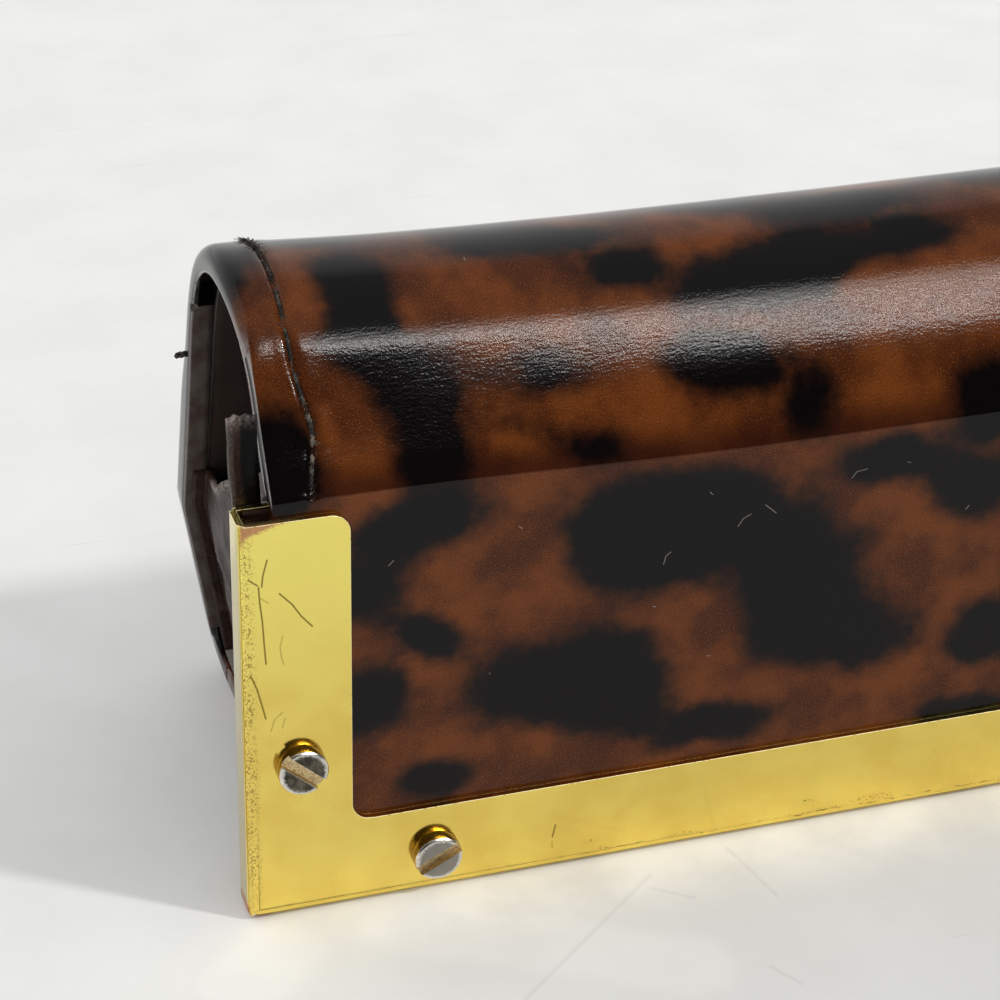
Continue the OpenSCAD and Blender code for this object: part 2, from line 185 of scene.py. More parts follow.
def raise_grain(shader, height, depth, coat=False):
    """Gives a surface a relief that is that deep in metres where the height goes from 0 to 1."""
    normal = put("Bump", {"Height": height, "Distance": depth}).outputs[0]
    feed(shader, normal, "Normal")
    if coat:
        feed(shader, normal, "Coat Normal")


def add_piece(name, bm, *finishes, smooth=True, sharp=None):
    """Turns a finished bmesh into an object with its materials. Its shading breaks at edges of
    more than sharp degrees."""
    mesh = bpy.data.meshes.new(name)
    bm.to_mesh(mesh)
    bm.free()
    for finish in finishes:
        mesh.materials.append(finish)
    if smooth:
        mesh.shade_smooth()
    if sharp:
        mesh.set_sharp_from_angle(angle=math.radians(sharp))
    return new_object(name, mesh)


table_top, shader, place = new_finish("table_top", Roughness=0.8, IOR=1.0)
cloud = grain(place, 0.02, 4, 0.6)
speck = ramp(grain(place, 0.0011, 3, 0.6), 0.72, 0.78)
scuff = ramp(grain(place, 0.002, 2, 0.5, (14, 0.35, 1), (0, 0, 0.9)), 0.72, 0.76)
marks = times(count("MAXIMUM", speck, scuff), 0.2)
pale = tint(ramp(cloud, 0.3, 0.7), (0.785, 0.783, 0.765), (0.825, 0.825, 0.81))
along, forward, _ = axes(place)
# painted shade: the table is painted darker towards the front
pale = tint(ramp(forward, -0.07, -0.02, 0.24, 0), pale, (0.42, 0.42, 0.4))
scored = strokes(place, 0.0004, (
    ((-41.5, -27.0, -0.2), (-60.0, -42.3, -0.2)), ((-32.2, -24.9, -0.2), (-30.3, -34.0, -0.2)),
    ((-35.3, -44.3, -0.2), (-33.4, -47.7, -0.2)), ((-42.1, -29.2, -0.2), (-38.5, -31.9, -0.2)),
))
marks = count("MAXIMUM", marks, times(scored, 0.15))
feed(shader, tint(marks, pale, (0.4, 0.39, 0.37)))
# painted light: an emission glow stands in for the warm light that the gold throws on the table
# just in front of it
thrown = times(ramp(forward, -0.035, -0.026), ramp(cloud, 0.3, 0.6))
thrown = times(thrown, ramp(forward, -0.024, -0.02, 1, 0))
thrown = times(thrown, ramp(along, -0.082, -0.06))
thrown = times(thrown, ramp(along, 0.06, 0.082, 1, 0))
streak = strokes(place, 0.008, (
    ((-68, -27.6, 0), (-54.2, -35.6, 0), (-42.8, -42.1, 0)), ((-85.4, -32.6, 0), (-81, -28.4, 0)),
))
thrown = count("MULTIPLY_ADD", streak, 0.35, thrown)
shader.inputs["Emission Color"].default_value = (1.0, 0.94, 0.8, 1)
feed(shader, times(thrown, 0.13), "Emission Strength")
ground = bmesh.new()
bmesh.ops.create_grid(ground, x_segments=1, y_segments=1, size=3)
bmesh.ops.translate(ground, verts=ground.verts, vec=(0, 0, -0.0002))
add_piece("table", ground, table_top, smooth=False)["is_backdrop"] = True

for name, way, turn, size, energy in (
    ("lamp", (1.25, -0.886, 1.286), 0, (0.24, 0.24), 36.0),
    ("strip_light", (0.338, -0.627, 0.702), -35, (0.8, 0.06), 4.2),
    ("soft_strip", (0.361, -0.542, 0.759), -22, (0.85, 0.22), 2.6),
    ("glow", (0.347, -0.587, 0.731), -28, (1.3, 0.55), 1.7),
):
    lamp = new_object(name, bpy.data.lights.new(name, "AREA"))
    lamp.data.shape = "ELLIPSE"
    lamp.data.size, lamp.data.size_y = size
    lamp.data.energy = energy
    lamp.data.color = (1.0, 0.985, 0.96)
    lamp.location = Vector(way) * 1.5
    facing = Vector(way).to_track_quat("Z", "Y").to_matrix()
    lamp.rotation_euler = (facing @ Matrix.Rotation(math.radians(turn), 3, "Z")).to_euler()
    lamp.visible_diffuse = name == "lamp"  # the strips only draw the long highlight on the gloss

room = bpy.data.worlds.new("room")
bpy.context.scene.world = room
room.use_nodes = True
tree = room.node_tree
way = axes(put("TexCoord", tree=tree).outputs["Generated"])
behind = ramp(way["Y"], 0.16, 0.62)
left = times(ramp(way["X"], 0.0, -0.3), ramp(way["Z"], 0.8, 0.9, 1, 0))
left = times(left, ramp(way["Y"], -0.35, 0.1))
screen = count("MAXIMUM", behind, left)
screen = count("MAXIMUM", screen, ramp(way["Z"], 0.7, 0.9, 0.0, 0.45))
mirrored = tint(screen, (0.05, 0.048, 0.045), (1.0, 1.0, 0.99))
rays = put("LightPath", tree=tree)
seen = tint(rays.outputs["Is Camera Ray"], mirrored, (0.8, 0.8, 0.79))
shown = count("MAXIMUM", rays.outputs["Is Camera Ray"], rays.outputs["Is Glossy Ray"])
shown = count("MAXIMUM", shown, rays.outputs["Is Transmission Ray"])
sky = tint(ramp(way["X"], -0.8, 0.7), (1.16, 1.17, 1.18), (0.54, 0.54, 0.545))
light = tint(shown, sky, seen)
feed(tree.nodes["Background"], light, "Color")
bpy.context.scene.view_settings.view_transform = "Standard"

# --- Patent leather cover ---
# One sheet of patent leather, printed like tortoiseshell. It covers the flap, bends at the
# crease and runs on over the slope, the ridge, the back and the base. Both ends are turned in
# over the boards, and a seam beside each end holds the turning.
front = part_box("flap_frame")[0].y
# From here on in mm: the frame's length and half of it, the end of the leather, and the heights
# of the crease and of the flap's lower edge.
span, half = 165, 82.5
end_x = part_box("body_leather")[0].x / mm
crease_z, flap_low = 47, 1
# The stretches of the section from the flap's lower edge: each has a length and a radius.
low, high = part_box("base_leather")
outline = [
    (crease_z - flap_low - 0.41, 0), (0.8, 1.423), (12.19, 120.3), (24.033, 13.5), (14.05, 35),
    (40.738, 0), (9.337, 5), ((high.y - low.y) / mm, 0),
]
# Where the back, the heel and the base begin, from the crease along the leather.
back_s, heel_s, base_s = 50.68, 91.42, 100.76


def skin(s, deep=0.0):
    """Where the leather runs: Y and Z at a distance along it from the crease and a depth below
    its surface, and the direction that it heads in."""
    y, z, heading = front / mm + 0.7, flap_low, math.pi / 2
    left = s + crease_z - flap_low
    for length, radius in outline:
        go = min(left, length)
        turn = go / radius if radius else 0
        reach = 2 * radius * math.sin(turn / 2) if radius else go
        y += reach * math.cos(heading - turn / 2)
        z += reach * math.sin(heading - turn / 2)
        heading -= turn
        left -= go
        if left <= 0:
            break
    return y + deep * math.sin(heading), z - deep * math.cos(heading), heading


def ease(value, low, high):
    """Goes smoothly from 0 to 1 while the value goes from low to high."""
    share = min(1.0, max(0.0, (value - low) / (high - low)))
    return share * share * (3 - 2 * share)


def bell(x, wide):
    """1 where x is 0, and nearly 0 from twice that width on."""
    return math.exp(-((x / wide) ** 2))


def steps(*stretches):
    """Numbers from the start of each stretch to its stop, at most its spacing apart."""
    found = [stretches[0][0]]
    for start, stop, spacing in stretches:
        n = math.ceil((stop - start) / spacing - 1e-6)
        found += [start + (stop - start) * (k + 1) / n for k in range(n)]
    return found


def lay_sheet(across, down, notes=()):
    """A grid sheet, and its crossings as (vertex, number across, number down). The notes name
    what each crossing keeps, as vectors."""
    sheet = bmesh.new()
    for note in notes:
        sheet.verts.layers.float_vector.new(note)
    bmesh.ops.create_grid(sheet, x_segments=across, y_segments=down, size=1)
    return sheet, [
        (v, round((v.co.x + 1) / 2 * across), round((v.co.y + 1) / 2 * down)) for v in sheet.verts
    ]


def draw_in(z):
    """How far the ends of the body draw in towards the base."""
    return 5.2 * max(0.0, 1 - z / 27)


def front_inset(s):
    """How far the ends of the leather stand in from the frame's over the front slope."""
    return 0.8 * (1 - ease(s, 10, 26))


def flare(x, s):
    """How far the ridge stands above the plain section: it rises towards the ends, where the
    turned leather stiffens it, and falls again over the last 7 mm."""
    end = min(x, span - x)
    rise = 0.25 + 1.6 * math.exp(-((max(end - 2.3, 0.0) / 20) ** 1.2))
    fall = 0.35 * max(0.0, 1 - end / 7.5) ** 2
    return (rise - fall) * ease(s, 3, 24) * (1 - ease(s, 34, 50.5))


def seam_x(s):
    """Distance of the seam from the frame's end: it bows in low on the slope."""
    return 6.9 + 1.05 * bell(s - 6.3, 4.2)


def wavy(x, y, size, seed):
    """Smooth noise from -1 to 1 with waves of about that size."""
    return noise.noise(Vector((x / size, y / size, seed)))


# The dark blotches of the print, in millimetres: distance from the frame's end, distance along
# the leather from the crease, half width, half height, tilt in degrees, and how dark it is if
# it isn't all black.
blotches = [
    (38.5, -8, 7.3, 5.4, -10), (46, -6.3, 7.2, 5.3, 0), (43, -11.5, 7.6, 4, 0),
    (55, -12.5, 8.2, 5.2, -28), (58, -18, 7.2, 5.4, -20), (63.5, -25.2, 7.8, 4.2, -12),
    (57, -22.5, 4.6, 3.6, -35), (29, -24.5, 6.8, 4.9, 0), (36.5, -24.3, 6.9, 5.9, 0),
    (39, -29, 4.8, 3.2, 0), (49, -33.1, 7.6, 2.7, 0), (12.5, -23.3, 4.6, 5, 0),
    (18.6, -16.6, 4.6, 2.2, -32), (12.3, -10.5, 3.8, 4, 0), (17.5, -4.6, 7.4, 3.7, 4),
    (19.3, -34.3, 4.2, 2.6, 0), (66.5, -4.2, 6.6, 3.3, 0), (75.5, -9, 5, 4.3, -20),
    (76.5, -1, 3, 2, 0), (79, -26.5, 4.4, 5, 0), (77, -36.5, 6, 2.2, 0), (4.5, 3.3, 4, 5.6, 0),
    (18.5, 9.6, 5.2, 3.8, -22), (19.5, 3, 4.4, 4, -10), (31, 8.8, 5.4, 2.3, 0, 0.8),
    (34.5, 1.6, 4.4, 2.3, 0, 0.75), (28, 4.5, 3, 1.6, -20, 0.45), (49.5, 8, 6.6, 3, -6),
    (57.5, 3.2, 3.4, 3.8, 10, 0.85), (77.5, 2.2, 5, 3.6, 15, 0.9), (14.5, 19.5, 4.1, 5.2, 0),
    (13.5, 14, 3.6, 2.6, 0), (41, 18.4, 5, 2.4, 0), (53, 15.4, 8.2, 2.7, 0),
    (60.5, 17.6, 6.2, 2.9, -8), (71.5, 18, 6, 2.4, 0), (33, 23.6, 9.2, 2.9, 0),
    (66, 23.6, 8.8, 3.1, 0), (12, 29, 6, 3.4, 0), (2.5, 25, 4, 5.5, 0), (3, 38, 6, 6, 0),
    (2, 50, 5, 7, 0), (1.5, 64, 4.5, 8, 0), (0.5, 80, 4.5, 8, 0), (3, 96, 6, 7, 20),
]
dice = random.Random(41)
for _ in range(5000):
    x, s = dice.uniform(2, 163), dice.uniform(-46, 140)
    wide, high, tilt = dice.uniform(5, 11), dice.uniform(3.6, 6.5), dice.uniform(-35, 35)
    if (x > 86 or s > 29) and all(
        math.hypot((x - b[0]) / (wide + b[2]), (s - b[1]) / (high + b[3])) > 0.93 for b in blotches
    ):
        blotches.append((x, s, wide, high, tilt))


def tortoise(x, s, near):
    """How dark the print is at a place: half at the rim of a blotch."""
    x, s = (
        x + 0.9 * wavy(x, s, 5, 3.1) + 0.9 * wavy(x, s, 13, 9.4),
        s + 0.9 * wavy(x, s, 5, 7.7) + 0.7 * wavy(x, s, 13, 1.6),
    )
    bare = 1.0
    for cx, cs, wide, high, tilt, *dark in near:
        if abs(x - cx) < 20:
            c, d = math.cos(math.radians(tilt)), math.sin(math.radians(tilt))
            u, v = (x - cx) * c + (s - cs) * d, (s - cs) * c - (x - cx) * d
            bare *= 1 - (dark or [1])[0] * 0.5 ** (math.hypot(u / wide, v / high) ** 2.6)
    return 1 - bare


# The hem's width, the radius of its fold, the seam's distance from the leather's end and the
# pitch of its stitches.
hem_w, fold_r, seam_u, stitch_pitch = 2.4, 0.3, 5, 4
# The columns of the grid from each end: round the turned end, close together at the seam, and
# evenly over the middle.
turned_n, middle_n = 14, 66
near_end = [
    2.2, 2.9, 3.5, 4.0, 4.3, 4.5, 4.65, 4.8, 4.9, seam_u, 5.1, 5.2, 5.35, 5.5, 5.75, 6.2, 6.8,
    7.5, 8.3, 9.2, 10.2,
]
half_n = turned_n + len(near_end) + middle_n
rows = steps(
    (flap_low - crease_z, -6, 1), (-6, -1, 0.7), (-1, 1, 0.2), (1, 12.6, 0.65),
    (12.6, 36.6, 0.8), (36.6, back_s, 1), (back_s, heel_s, 1.5), (heel_s, base_s, 0.8),
    (base_s, base_s + outline[-1][0], 2),
)


def turned_end(k, s):
    """The first columns of the cover: along the hem, round the end and out onto the top.
    Gives the distance from the leather's end and the depth."""
    deep = (0.9 + 0.8 * ease(s, -3, -1) + 1.2 * ease(s, -1, 2.5) - 0.15 * ease(s, 10, 18)
            + 0.45 * ease(s, 40, 58) - 0.9 * ease(s, heel_s - 1, heel_s + 6))
    hem = hem_w * (0.2 + 0.8 * ease(s, -1, 2.5) * (1 - ease(s, heel_s, heel_s + 5)))
    outer = 0.2 + 1.25 * ease(s, 11, 18) - 1.05 * ease(s, 46, 56)
    if k < 3:
        return fold_r + (hem - fold_r) * (1 - k / 3), deep
    if k < 6:
        a = (k - 3) * math.pi / 4
        return fold_r * (1 - math.sin(a)), deep - fold_r * (1 - math.cos(a))
    if k < 8:
        return 0.0, deep - fold_r + (outer + fold_r - deep) * (k - 5) / 3
    a = (k - 8) * math.pi / 10
    return outer * (1 - math.cos(a)), outer * (1 - math.sin(a))


def relief(x, s, u):
    """How far the leather stands out from the boards: it swells over the slope in the middle
    of the case, and is pulled in along the seam."""
    swell = 0.12 * ease(min(x, span - x), 10, 52) * math.sin(math.pi * min(1, max(0, s / 12.6)))
    ripple = 0.035 * wavy(x, s, 7, 4.4) + 0.05 * wavy(x, s, 19, 2.2)
    ripple *= 1 - ease(s, 88, 99)
    on_seam = ease(s, -0.2, 0.3) * (1 - ease(s, 49.5, 51))
    hole = bell((s - 0.8 + stitch_pitch / 2) % stitch_pitch - stitch_pitch / 2, 0.45) * on_seam
    groove = 0.4 * bell(u - seam_u, 0.34) * on_seam + 0.1 * hole * bell(u - seam_u, 0.6)
    pucker = 0.07 * (1 - hole) * on_seam * bell(abs(u - seam_u) - 1, 0.45)
    # one sharp pleat that the seam has drawn up low on the slope
    pleat = 0.34 * bell(u - 4.15 - 0.12 * (s - 8.8), 0.3) - 0.2 * bell(u - seam_u, 0.4)
    return swell + ripple - groove + pucker + bell(s - 8.8, 1.9) * pleat


cover, crossings = lay_sheet(2 * half_n - 2, len(rows) - 1, ("laid", "edge_highlight"))
laid = cover.verts.layers.float_vector["laid"]
edge_highlight = cover.verts.layers.float_vector["edge_highlight"]
near, hem_verts, last = {}, set(), near_end[-1]
for v, i, j in crossings:
    s = rows[j]
    side = -1 if i > half_n - 1 else 1
    k = 2 * half_n - 2 - i if side < 0 else i
    inset = (draw_in(skin(s)[1]) if s > 0 else 0.0) + front_inset(s)
    if k < turned_n:
        u, deep = turned_end(k, s)
        if (k < 6 and 40 < s < heel_s) or (5 < k < 9 and 0 < s < 15):
            hem_verts.add(v)
        # painted highlight: the two edges of the turned end are painted pale
        if k == 4:
            v[edge_highlight] = (ease(s, -1, 1) * (1 - ease(s, 80, heel_s)), 0, 0)
        elif k in (8, 9, 10):
            v[edge_highlight] = (ease(s, -1, 1) * (1 - ease(s, 12, 17)), 0, 0)
    else:
        k -= turned_n
        if k < len(near_end):
            u = near_end[k]
        else:
            share = (k + 1 - len(near_end)) / middle_n
            u = last + (-end_x - inset - last) * share
        # the crossings near the seam follow it, so that its groove keeps its shape
        nominal, move = u, seam_x(s) - 7.3 - inset if s < back_s else 0.0
        move *= ease(s, -3, 0) * (1 - ease(s, 40, 50))
        u += move * (u / seam_u if u < seam_u else max(0, (last - u) / (last - seam_u)))
        deep = -relief(end_x + inset + u + half, s, nominal)
    x = end_x + inset + u
    from_left = side * x + half
    y, z, _ = skin(s, deep - flare(from_left, s))
    sag = ease(min(from_left, span - from_left), 12, 55)
    z -= sag * (ease(s, -8, -0.5) if s < 0 else 1 - ease(s, 0, 9))
    v.co = (side * x * mm, y * mm, z * mm)
    if j not in near:
        near[j] = [b for b in blotches if abs(b[1] - s) < 16]
    # Each point keeps its place on the leather, and how dark the print is there.
    v[laid] = (from_left, s, tortoise(from_left, s, near[j]))


def noted(shader, name):
    """The vector socket of what the crossings keep under that name."""
    return put("Attribute", tree=shader.id_data, attribute_name=name).outputs["Vector"]


patent, shader, _ = new_finish(
    "patent_leather", Roughness=0.5, Coat_Weight=1.0, Coat_Roughness=0.1, Coat_IOR=1.3,
    Specular_IOR_Level=0.0,
)
laid = noted(shader, "laid")
lay = vectors("MULTIPLY", laid, (mm, mm, 0))[0]
place_s = axes(lay)["Y"]
field = axes(laid)["Z"]
rim = grain(lay, 1.1 * mm, 3, 0.6)
field = count("ADD", field, count("MULTIPLY_ADD", rim, 0.16, -0.08))
mottle = grain(lay, 3 * mm, 3, 0.6)
field = count("ADD", field, count("MULTIPLY_ADD", mottle, 0.5, -0.25))
blot = ramp(field, 0.2, 0.8)
cloud = ramp(grain(lay, 8 * mm, 3, 0.55), 0.35, 0.65)
amber = tint(cloud, (0.052, 0.012, 0.0032), (0.125, 0.032, 0.0062))
speckle = grain(lay, 0.16 * mm, 2, 0.65)
amber = tint(ramp(speckle, 0.56, 0.72, 0.0, 0.6), amber, (0.24, 0.095, 0.022))
amber = tint(ramp(speckle, 0.46, 0.3, 0.0, 0.6), amber, (0.014, 0.004, 0.002))
# painted shade: the leather is painted darker just above the crease, where the fold is shaded
painted_crease_shade = ramp(place_s, 0.5 * mm, 3.6 * mm, 0.72, 0)
painted_crease_shade = times(ramp(place_s, -0.3 * mm, 0.1 * mm), painted_crease_shade)
amber = tint(painted_crease_shade, amber, (0.018, 0.003, 0.002))
shade = tint(blot, amber, (0.0022, 0.0013, 0.0016))
lint = strokes(lay, 0.08 * mm, (
    ((50.2, -9.8), (50.7, -9), (51.5, -8.6)), ((53, -7.8), (54.2, -8.9)),
    ((42.5, -12.9), (42.7, -12), (43.2, -11.6)), ((62.1, -6), (62.6, -5.2), (63.7, -5)),
    ((68.1, -4.9), (68.4, -5)), ((14.4, -8.4), (14.9, -7.9)), ((24.7, -22.4), (24.7, -22.5)),
    ((47.8, -24.5), (48.1, -24.6)), ((27.4, -6.1), (27.7, -6.4)), ((26.1, 21.8), (26.1, 21.4)),
    ((47, -5.1), (47.3, -5.5)), ((75.1, -11.8), (75.4, -11.4)), ((41.6, -17.6), (41.9, -17.7)),
))
shade = tint(times(lint, 0.35), shade, (0.45, 0.4, 0.34))
# painted highlight: pale lines along the edges of the turned end
wear_and_edge_highlight = axes(noted(shader, "edge_highlight"))["X"]
wear_and_edge_highlight = times(wear_and_edge_highlight, ramp(rim, 0.3, 0.5, 0.35, 1.0))
shade = tint(times(wear_and_edge_highlight, 0.8), shade, (0.36, 0.345, 0.335))
feed(shader, shade)
on_slope = times(ramp(place_s, 1 * mm, 4 * mm), ramp(place_s, 15 * mm, 21 * mm, 1.0, 0.1))
strength = count("MAXIMUM", on_slope, 0.1)
lines = grain(lay, 0.42 * mm, 3, 0.55, (3.4, 1, 1))
lines = count("MULTIPLY_ADD", grain(lay, 0.25 * mm, 2, 0.5), 0.9, lines)
raise_grain(shader, times(lines, strength), 0.018 * mm, coat=True)
# the turned hem, whose print and gloss are rubbed off; it is painted darker towards the front
rubbed_leather, shader, place = new_finish(
    "rubbed_leather", Roughness=0.45, Specular_IOR_Level=0.05
)
rub = ramp(grain(place, 2.5 * mm, 4, 0.6), 0.3, 0.7)
hem = tint(rub, (0.06, 0.04, 0.034), (0.1, 0.085, 0.075))
at_back = ramp(axes(place)["Y"], -5 * mm, 8 * mm)
hem = tint(at_back, (0.01, 0.0075, 0.007), hem)
# painted highlight: pale lines along the edges of the turned end
wear_and_edge_highlight = axes(noted(shader, "edge_highlight"))["X"]
feed(shader, tint(times(wear_and_edge_highlight, 0.8), hem, (0.3, 0.285, 0.275)))
raise_grain(shader, rub, 0.05 * mm)

for face in cover.faces:
    face.material_index = int(all(v in hem_verts for v in face.verts))


def thicken(piece, thickness, offset=-1):
    """Gives a sheet its thickness: below its faces, or on both sides with an offset of 0."""
    wall = piece.modifiers.new("thickness", "SOLIDIFY")
    wall.thickness, wall.offset = thickness, offset


# Under the base the sheet is a piece of its own, which moves with the case's body.
under = cover.copy()
for part, kept in ((cover, False), (under, True)):
    key = part.verts.layers.float_vector["laid"]
    other = [f for f in part.faces if kept != all(v[key].y > base_s - 0.01 for v in f.verts)]
    bmesh.ops.delete(part, geom=other, context="FACES")
patent_cover = add_piece("patent_cover", cover, patent, rubbed_leather)
base_cover = add_piece("base_cover", under, patent, rubbed_leather)
for piece in (patent_cover, base_cover):
    thicken(piece, 0.55 * mm)
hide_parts("flap_leather", "crease_leather", "body_leather", "left_end_hem",
            "right_end_hem")
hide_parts("base_leather")
pivot = Vector((0, front + 0.925 * mm, 46.75 * mm))
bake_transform(patent_cover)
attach(base_cover, "case_body")

# --- Boards and shell ---
# Grey millboard inside the flap, the back, the base and the lip, and a moulded pressboard shell
# over the ridge. All are glued under the leather, so only their rims are seen.
board_grey, shader, place = new_finish("greyboard", Roughness=0.9, Specular_IOR_Level=0.2)
fibre = grain(place, 0.35 * mm, 4, 0.65, (3, 1, 1))
feed(shader, tint(fibre, (0.2, 0.18, 0.155), (0.36, 0.335, 0.3)))
raise_grain(shader, fibre, 0.05 * mm)


def dress(finish, *nodes):
    """Gives its finish to each CAD node that stays as it is."""
    for node in nodes:
        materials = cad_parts[node].data.materials
        materials.clear()
        materials.append(finish)


def fit(piece, slot, body, *nodes):
    """Hides the CAD nodes that a piece stands for and attaches the piece to the body that it moves
    with. The slot that it would take its finish from is not used."""
    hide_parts(*nodes)
    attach(piece, body)


def follow_skin(across, down, reach, deep):
    """A sheet at a depth below the leather, with its rows at those distances down it. The
    columns are closer together near the ends, where the ridge rises."""
    sheet, crossings = lay_sheet(across, len(down) - 1)
    for v, i, j in crossings:
        s, share = down[j], 1 - 2 * i / across
        x = share * (1.35 - 0.35 * share**2) * reach(s)
        v.co = Vector((x, *skin(s, deep - flare(x + half, s))[:2])) * mm
    return sheet


dress(board_grey, "back_board", "base_board", "lip_board")
sheet = follow_skin(90, steps((2.2, 12.6, 2), (12.6, back_s, 1)),
                    lambda s: -end_x - 0.95 - front_inset(s), 0.92)
bmesh.ops.reverse_faces(sheet, faces=sheet.faces)
ridge_shell = add_piece("ridge_shell", sheet, board_grey)
thicken(ridge_shell, 1.2 * mm)
fit(ridge_shell, "moulded_shell", "case_body", "spine_shell")


def merged_copy(node):
    """A CAD node's mesh with its loose triangles joined into whole faces."""
    bm = bmesh.new()
    bm.from_mesh(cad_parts[node].data)
    bmesh.ops.remove_doubles(bm, verts=bm.verts, dist=2e-6)
    bmesh.ops.dissolve_limit(bm, angle_limit=math.radians(0.3), verts=bm.verts, edges=bm.edges)
    return bm


def round_edges(bm, size, segments=2, finish=-1):
    """Rounds every sharp edge. The finish is the number of the material on the rounded edges."""
    hard = [e for e in bm.edges if e.is_manifold and e.calc_face_angle() > math.radians(35)]
    bmesh.ops.bevel(bm, geom=hard, offset=size, affect="EDGES", segments=segments, profile=0.5,
                    material=finish, clamp_overlap=True)


# The flap's board stops short of the turned ends of the leather.
board = merged_copy("flap_board")
for v in board.verts:
    if abs(v.co.x) > 79 * mm:
        v.co.x -= math.copysign(1.5 * mm, v.co.x)
    if v.co.z > 45 * mm:
        v.co.z -= 0.7 * mm
flap_stiffener = add_piece("flap_stiffener", board, board_grey, smooth=False)
fit(flap_stiffener, "greyboard", "flap", "flap_board")

# --- Magnets and strike strip ---
# Two disc magnets in the flap's board pull on a strip of bare steel in the lip.
bare_steel, shader, place = new_finish("bare_steel", Metallic=1.0, Roughness=0.42)
rolled = grain(place, 0.2 * mm, 3, 0.6, (12, 1, 1))
feed(shader, tint(rolled, (0.42, 0.42, 0.43), (0.62, 0.62, 0.62)))
raise_grain(shader, rolled, 0.01 * mm)
dress(bare_steel, "flap_magnets", "strike_strip")

# --- Linings ---
# Brown suede glued inside the flap, the body and the base.
suede, shader, place = new_finish(
    "suede", Roughness=0.95, Specular_IOR_Level=0.1, Sheen_Weight=0.1, Sheen_Roughness=0.5
)
nap = grain(place, 0.22 * mm, 4, 0.7)
brushed = ramp(grain(place, 9 * mm, 3, 0.6, (2, 1, 1)), 0.35, 0.65)
pile = tint(brushed, (0.022, 0.013, 0.009), (0.04, 0.024, 0.016))
feed(shader, tint(times(nap, 0.6), pile, (0.01, 0.006, 0.004)))
raise_grain(shader, nap, 0.12 * mm)


def suede_piece(name, node, body, sheet):
    """Finishes a sheet of lining that stands for a CAD node."""
    piece = add_piece(name, sheet, suede)
    thicken(piece, 0.5 * mm)
    fit(piece, "suede_lining", body, node)


sheet = follow_skin(60, steps((2.2, 12.6, 2), (12.6, back_s, 1.5), (back_s, 91, 3)),
                    lambda s: -end_x - draw_in(skin(s)[1]) - 2.75, 2.88)
suede_piece("wall_lining", "body_lining", "case_body", sheet)

low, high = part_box("base_lining")
sheet, crossings = lay_sheet(40, 12)
for v, i, j in crossings:
    v.co = ((i / 20 - 1) * high.x, low.y + (high.y - low.y) * j / 12,
            high.z + 0.03 * mm * wavy(i * 4, j * 3, 7, 1.5))
suede_piece("floor_lining", "base_lining", "case_body", sheet)

low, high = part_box("flap_lining")
sheet, crossings = lay_sheet(40, 14)
for v, i, j in crossings:
    v.co = ((1 - i / 20) * high.x, high.y - 0.04 * mm,
            low.z + (high.z - 0.8 * mm - low.z) * j / 14)
suede_piece("door_lining", "flap_lining", "flap", sheet)

# --- Lip ---
# A low lip along the front of the base, covered in the gussets' dark leather.
gusset_leather, shader, place = new_finish(
    "gusset_leather", Roughness=0.42, Coat_Roughness=0.14, Specular_IOR_Level=0.12
)
pebble = grain(place, 0.5 * mm, 3, 0.55)
crumple = grain(place, 2.4 * mm, 4, 0.6)
wear_and_edge_highlight = ramp(grain(place, 3 * mm, 4, 0.65), 0.52, 0.72)
hide = tint(crumple, (0.01, 0.006, 0.005), (0.04, 0.018, 0.013))
hide = tint(times(wear_and_edge_highlight, 0.5), hide, (0.085, 0.046, 0.036))
# painted shade: the right half of the loose tab is painted near black and loses its coat
raw, painted_tab_shade, _ = axes(noted(shader, "cut"))
hide = tint(painted_tab_shade, hide, (0.002, 0.0015, 0.0015))
feed(shader, ramp(painted_tab_shade, 0, 1, 0.14, 0), "Coat Weight")
fuzz = ramp(grain(place, 0.35 * mm, 4, 0.7), 0.35, 0.6)
feed(shader, tint(times(raw, fuzz), hide, (0.24, 0.2, 0.175)))
height = count("MULTIPLY_ADD", crumple, 3.0, pebble)
raise_grain(shader, height, 0.09 * mm, coat=True)
lip = merged_copy("lip_cover")
round_edges(lip, 0.35 * mm, 3)
lip_leather = add_piece("lip_leather", lip, gusset_leather)
fit(lip_leather, "gusset_leather", "case_body", "lip_cover")

# --- Gussets ---
# Soft dark leather that closes each end. It is glued to the turned hem at the back and to the
# base, folds round at the front and returns inside. Its top edge droops, and is cut raw.


def other_end(name, piece):
    """The same piece for the right end: a mirrored copy."""
    bm = bmesh.new()
    bm.from_mesh(piece.data)
    bmesh.ops.scale(bm, vec=(-1, 1, 1), verts=bm.verts)
    bmesh.ops.reverse_faces(bm, faces=bm.faces)
    twin = add_piece(name, bm, *piece.data.materials)
    thicken(twin, piece.modifiers[0].thickness, 0)
    return twin


def back_wall(z):
    """The inner face of the turned hem at the back, at a height."""
    top, low = skin(back_s, 3.3), skin(heel_s, 3.3)
    return top[0] + (low[0] - top[0]) * (z - top[1]) / (low[1] - top[1])


def top_edge(y):
    """Height of the gusset's drooping top edge at a distance behind the frame's front."""
    points = [(4, 47.5), (8, 47), (12, 44), (17, 40.5), (23, 38), (28, 34), (34, 32), (40, 30.5),
              (48, 29.5)]
    for (y0, z0), (y1, z1) in zip(points, points[1:]):
        if y <= y1:
            return z0 + (z1 - z0) * max(0, y - y0) / (y1 - y0)
    return points[-1][1]


